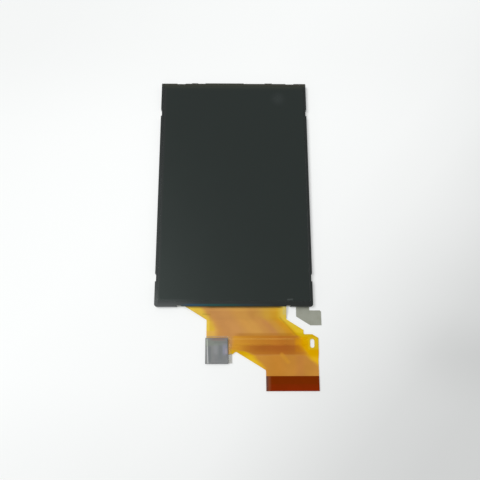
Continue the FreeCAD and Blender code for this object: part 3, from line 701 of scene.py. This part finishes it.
def conductive_cloth():
    """Metallised woven cloth of the gasket, with soft cool and warm tones, painted shade in a hollow, and
    painted glints on its sloped left shoulder and near its right side.
    """
    f = Finish("conductive_cloth")
    weave = f.both(f.waves(f.x, weave_pitch), f.waves(f.y, weave_pitch))
    cloud = f.noise(0.45, 3.0, stretch=(1.6, 0.5, 1.0))
    tone = f.mottle(cloud, (0.205, 0.210, 0.215, 1), (0.262, 0.262, 0.258, 1))
    green = f.both(f.between(f.y, -47.2, -45.6, 0.4), f.remap(f.x, -4.6, -2.6, 1.0, 0.0))
    tone = f.tint(tone, (0.225, 0.255, 0.205, 1), green, 0.6)
    tone = f.tint(tone, (0.245, 0.182, 0.160, 1), f.patch(*cloth_warm), 0.85)
    tone = f.tint(tone, (0.185, 0.195, 0.180, 1), f.patch(*cloth_line), 0.6)
    # Painted shade in a hollow of the cloth, and a darker strip near its left side
    dark = f.math("MAXIMUM", f.patch(*hollow_shade), f.patch(*cloth_side))
    tone = f.tint(tone, (0.172, 0.185, 0.190, 1), dark, 0.7)
    tone = f.tint(tone, (0.285, 0.292, 0.296, 1), f.patch(*cloth_light), 0.6)
    tone = f.tint(tone, (0.268, 0.270, 0.335, 1), f.patch(*cloth_cool), 0.8)
    tone = f.tint(tone, (0.350, 0.310, 0.350, 1), f.patch(*cloth_gleam), 0.8)
    # Painted glint on the cloth's sloped left shoulder
    glint_tone = f.mix(f.remap(f.y, -49.0, -46.5), grey(0.44), (0.42, 0.45, 0.385, 1))
    tone = f.tint(tone, glint_tone, f.streak(*fold_glint), 0.95)
    tone = f.mix(f.remap(f.x, -7.95, -7.80, 0.6, 0.0), tone, (0.160, 0.168, 0.160, 1))
    f.set(Base_Color=tone, Metallic=0.85, Roughness=f.wander(cloud, 0.42, 0.54))
    f.set(Normal=f.relief(weave, 0.006))
    return f.material


def foam():
    """Dark open foam."""
    f = Finish("foam")
    cells = f.noise(5.0, 3.0)
    f.set(Base_Color=f.ramp(cells, ((0.35, grey(0.02)), (0.65, grey(0.075)))), Roughness=0.9)
    f.set(Normal=f.relief(cells, 0.04))
    return f.material


def liner_film():
    """Translucent film under the gasket, clear on the circuit and grey with adhesive past it, with a painted
    bright orange strip along its rim beside the gasket against the gasket's shadow.
    """
    f = Finish("liner_film")
    adhesive = f.mottle(f.noise(0.6), (0.36, 0.35, 0.30, 1), (0.42, 0.41, 0.36, 1))
    rim = f.between(f.x, -1.90, -1.15, 0.15)
    # Painted light: a bright orange strip along the rim beside the gasket, against the gasket's shadow
    lit = f.both(rim, f.remap(f.y, -49.7, -49.2))
    f.set(Base_Color=f.mix(lit, adhesive, (0.74, 0.50, 0.22, 1)))
    veil = f.math("MAXIMUM", f.remap(f.y, -49.2, -49.7, 0.04, 0.44), f.math("MULTIPLY", lit, 0.38))
    f.set(Roughness=f.wander(f.noise(2.0), 0.25, 0.38), Alpha=veil)
    return f.material


def gold_plating():
    """Gold of the contacts."""
    f = Finish("gold_plating")
    f.set(Base_Color=f.mottle(f.noise(3.0), (0.80, 0.56, 0.20, 1), (0.87, 0.64, 0.27, 1)))
    f.set(Metallic=1.0, Roughness=f.wander(f.noise(6.0), 0.2, 0.34))
    return f.material


def solder():
    """Dull solder."""
    f = Finish("solder")
    f.set(Base_Color=f.mottle(f.noise(3.0), grey(0.5), grey(0.66)), Metallic=1.0)
    f.set(Roughness=0.38, Normal=f.relief(f.noise(5.0), 0.01))
    return f.material


# Finishes by the slots of the record
FINISHES = {
    "black_coated_steel": black_coat, "face_film": face_film, "cell_glass": cell_glass,
    "polarizing_film": polarizing_film, "black_tape": black_tape, "prism_film": prism_film,
    "diffusing_film": diffusing_film, "guide_acrylic": guide_acrylic, "reflecting_film": reflecting_film,
    "white_plastic": white_plastic, "bare_steel": bare_steel, "led_package": led_package,
    "chip_silicon": chip_silicon, "sealing_silicone": sealing_silicone, "amber_polyimide": amber_flex,
    "dark_polyimide": dark_polyimide, "adhesive_tape": adhesive_tape, "conductive_cloth": conductive_cloth,
    "foam": foam, "liner_film": liner_film, "gold_plating": gold_plating, "solder": solder,
    "led_circuit": led_circuit,
}

# Nodes with a finish that isn't their slot's
OWN_FINISHES = {"led_flex": "led_circuit"}


def dress_nodes():
    """Gives every node its finish, and returns the finishes by name."""
    made = {name: build() for name, build in FINISHES.items()}
    for part in frame["record"]["subparts"]:
        name = part["node"]
        materials = nodes[name].data.materials
        materials.clear()
        materials.append(made[OWN_FINISHES.get(name, part["material_slot"])])
    return made


def add_mesh(name, points, faces, finish, smooth=True):
    """New piece of the object from points in metres, on the part's one body."""
    mesh = bpy.data.meshes.new(name)
    mesh.from_pydata(points, [], faces)
    mesh.validate()
    mesh.polygons.foreach_set("use_smooth", [smooth] * len(mesh.polygons))
    mesh.materials.append(finish)
    piece = bpy.data.objects.new(name, mesh)
    bpy.context.scene.collection.objects.link(piece)
    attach(piece, "root")
    return piece


# Gasket's shape: a rounded left side, a top face with a crown, wrinkles and a sloped left shoulder,
# and a right side that leans in towards the upper end. The shoulder's run is spread by one share at the
# lower end and another at the upper. Folds are so many to a millimetre along X and Y, with the layer of
# the noise that they come from
cloth_thickness = 0.05
cloth_rows = 64
side_steps = 8
side_roundness = 0.55
top_steps = 56
top_start = 0.04
top_shortfall = 0.10
corner_cut = 0.08
corner_ease = (0.02, 0.35)
side_lean = 0.18
shoulder_run = 0.62
shoulder_spread = (1.15, 0.85)
shoulder_drop = 0.13
crown = 0.035
crown_powers = (4, 6)
wrinkle = 0.012
wrinkle_room = 1.5
broad_folds = (0.55, 0.22, 3.0)
fine_folds = (1.3, 0.9, 7.0)
fine_share = 0.5
foam_rows = 24
foam_gap = 0.02


def fold_noise(x, y, folds):
    """Noise of folds, so many to a millimetre along X and along Y, from a layer of their own."""
    along_x, along_y, layer = folds
    return noise.noise(Vector((x * along_x, y * along_y, layer)))


def gasket_top(x, y, low, high):
    """Height of the cloth's top face: a crown, a sloped left shoulder and soft wrinkles."""
    across = (x - low.x) / (high.x - low.x)
    along = (y - low.y) / (high.y - low.y)
    across_power, along_power = crown_powers
    arch = crown * (1 - (2 * across - 1) ** across_power) * (1 - (2 * along - 1) ** along_power)
    first_spread, last_spread = shoulder_spread
    spread = shoulder_run * (first_spread + (last_spread - first_spread) * along)
    slope = max(0.0, 1 - (x - low.x) / spread)
    folds = fold_noise(x, y, broad_folds) + fine_share * fold_noise(x, y, fine_folds)
    return high.z - crown - wrinkle * wrinkle_room + arch - shoulder_drop * slope + wrinkle * folds


def gasket_ring(y, low, high, inset):
    """Points round the gasket's section at one place along it, pulled in by inset."""
    left = low.x + inset
    right = high.x - inset - side_lean * (y - low.y) / (high.y - low.y)
    bottom = low.z + inset
    radius = ((high.z - low.z) / 2 - inset) * side_roundness
    ring = []
    for step in range(side_steps + 1):
        angle = math.radians(270 - 90 * step / side_steps)
        ring.append((left + radius * (1 + math.cos(angle)), bottom + radius * (1 + math.sin(angle))))
    for step in range(top_steps + 1):
        x = left + top_start + (right - left - top_shortfall) * step / top_steps
        ring.append((x, gasket_top(x, y, low, high) - inset))
    top = ring[-1][1]
    ease_x, ease_share = corner_ease
    ring.append((right - ease_x, top - corner_cut * ease_share))
    ring.append((right, top - corner_cut))
    ring.append((right, bottom + corner_cut))
    ring.append((right - corner_cut, bottom))
    return [(x, y, z) for x, z in ring]


def places_along(low, high, steps):
    """Evenly spaced places from one end to the other."""
    return [low + (high - low) * step / steps for step in range(steps + 1)]


def tube_of_rings(outer, inner):
    """Points and faces of an open-ended wrap between an outer and an inner set of rings."""
    count = len(outer[0])
    points = [p for ring in outer + inner for p in ring]
    shift = len(outer) * count
    end = shift - count
    faces = []
    for start in range(0, end, count):
        after = start + count
        for i in range(count):
            j = (i + 1) % count
            a, b, c, d = start + i, start + j, after + j, after + i
            faces.append((a, b, c, d))
            faces.append((a + shift, d + shift, c + shift, b + shift))
    for i in range(count):
        j = (i + 1) % count
        faces.append((i, i + shift, j + shift, j))
        faces.append((end + i, end + j, end + j + shift, end + i + shift))
    return points, faces


def gasket_cloth(finish):
    """Cloth wrapped round the foam, open at both ends."""
    low, high = (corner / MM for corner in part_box("gasket_foil"))
    places = places_along(low.y, high.y, cloth_rows)
    outer = [gasket_ring(y, low, high, 0.0) for y in places]
    inner = [gasket_ring(y, low, high, cloth_thickness) for y in places]
    points, faces = tube_of_rings(outer, inner)
    points = [Vector(p) * MM for p in points]
    piece = add_mesh("gasket_cloth", points, faces, finish)
    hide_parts("gasket_foil")
    return piece


def gasket_foam(finish):
    """Foam core that fills the cloth, a little short of its ends."""
    low, high = (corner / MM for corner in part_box("gasket_foil"))
    core_low, core_high = (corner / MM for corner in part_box("gasket_core"))
    places = places_along(core_low.y, core_high.y, foam_rows)
    rings = [gasket_ring(y, low, high, cloth_thickness + foam_gap) for y in places]
    count = len(rings[0])
    points = [Vector(p) * MM for ring in rings for p in ring]
    first_end = tuple(range(count))
    last_end = tuple(reversed(range(foam_rows * count, (foam_rows + 1) * count)))
    faces = [first_end, last_end]
    for row in range(foam_rows):
        start, after = row * count, (row + 1) * count
        for i in range(count):
            j = (i + 1) % count
            faces.append((start + i, after + i, after + j, start + j))
    piece = add_mesh("gasket_foam", points, faces, finish, smooth=False)
    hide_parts("gasket_core")
    return piece


def recalculate(piece):
    """Turns a piece's faces outward."""
    form = bmesh.new()
    form.from_mesh(piece.data)
    bmesh.ops.recalc_face_normals(form, faces=form.faces)
    form.to_mesh(piece.data)
    form.free()


def add_camera():
    """Camera at the photograph's place and tilt."""
    data = bpy.data.cameras.new("camera")
    data.sensor_width = camera_sensor
    data.lens = camera_lens
    data.clip_start = camera_near
    camera = bpy.data.objects.new("camera", data)
    turn = (Matrix.Rotation(math.radians(camera_pitch), 4, "X")
            @ Matrix.Rotation(math.radians(camera_roll), 4, "Y")
            @ Matrix.Rotation(math.radians(camera_turn), 4, "Z"))
    camera.matrix_world = Matrix.Translation(Vector(camera_place) * MM) @ turn
    bpy.context.scene.collection.objects.link(camera)
    bpy.context.scene.camera = camera


def add_floor():
    """Pale floor, painted darker towards the lower right where the room's light falls off, with painted shade
    and light in wide patches.
    """
    mesh = bpy.data.meshes.new("floor")
    half = floor_size / 2
    corners = [(-half, -half, 0), (half, -half, 0), (half, half, 0), (-half, half, 0)]
    mesh.from_pydata(corners, [], [(0, 1, 2, 3)])
    f = Finish("floor")
    fall = f.vector("DOT_PRODUCT", f.place, floor_fall)
    stops = [(place, (*(level * share for share in floor_tint), 1)) for place, level in floor_tones]
    tone = f.ramp(fall, stops, "LINEAR")
    tone = f.tint(tone, grey(0), f.between(f.y, *floor_top), floor_top_dim)
    low_left = f.both(f.remap(f.x, *floor_left), f.between(f.y, *floor_low))
    tone = f.tint(tone, grey(0), low_left, floor_low_dim)
    right = f.both(f.remap(f.x, *floor_right), f.remap(f.x, *floor_right_end, 1.0, 0.0))
    lift = f.both(right, f.between(f.y, *floor_lift))
    tone = f.tint(tone, grey(1), lift, floor_right_lift)
    shade = f.both(right, f.between(f.y, *floor_shade))
    tone = f.tint(tone, grey(0), shade, floor_right_dim)
    f.set(Base_Color=f.mix(1 - floor_glow, grey(0), tone), Roughness=0.75, Specular_IOR_Level=0.0)
    f.set(Emission_Color=tone, Emission_Strength=f.math("MULTIPLY", f.seen_rays(), floor_glow))
    mesh.materials.append(f.material)
    floor = bpy.data.objects.new("floor", mesh)
    bpy.context.scene.collection.objects.link(floor)


def add_light():
    """Soft lamp in the window's direction, and the pale room round the part."""
    data = bpy.data.lights.new("window", "SUN")
    data.energy = lamp_strength
    data.angle = math.radians(lamp_angle)
    lamp = bpy.data.objects.new("window", data)
    lamp.rotation_mode = "QUATERNION"
    lamp.rotation_quaternion = Vector(window_direction).to_track_quat("Z", "Y")
    lamp.visible_glossy = False
    bpy.context.scene.collection.objects.link(lamp)
    world = bpy.data.worlds.new("room")
    bpy.context.scene.world = world
    world.use_nodes = True
    room = Graph(world.node_tree)
    direction = room.tree.nodes.new("ShaderNodeTexCoord").outputs["Generated"]
    aim = room.vector("DOT_PRODUCT", direction, Vector(window_direction).normalized())
    away = room.math("MULTIPLY", room.math("SUBTRACT", aim, 1.0), window_tightness)
    glow = room.math("MULTIPLY", room.math("EXPONENT", away), window_level)
    height = room.split(direction)[2]
    sky = room.remap(height, 0.0, horizon_height, horizon_level, sky_level)
    shown = room.math("SUBTRACT", room.math("ADD", glow, sky), fill_level)
    level = room.math("ADD", room.math("MULTIPLY", shown, room.seen_rays()), fill_level)
    background = room.tree.nodes["Background"]
    room.feed(background.inputs["Strength"], level)
    room.feed(background.inputs["Color"], room_tint)


def main():
    """Dresses the part, adds the gasket's soft pieces and sets up the picture."""
    made = dress_nodes()
    recalculate(gasket_cloth(made["conductive_cloth"]))
    recalculate(gasket_foam(made["foam"]))
    add_camera()
    add_floor()
    add_light()
    bpy.context.scene.view_settings.view_transform = "Standard"


main()
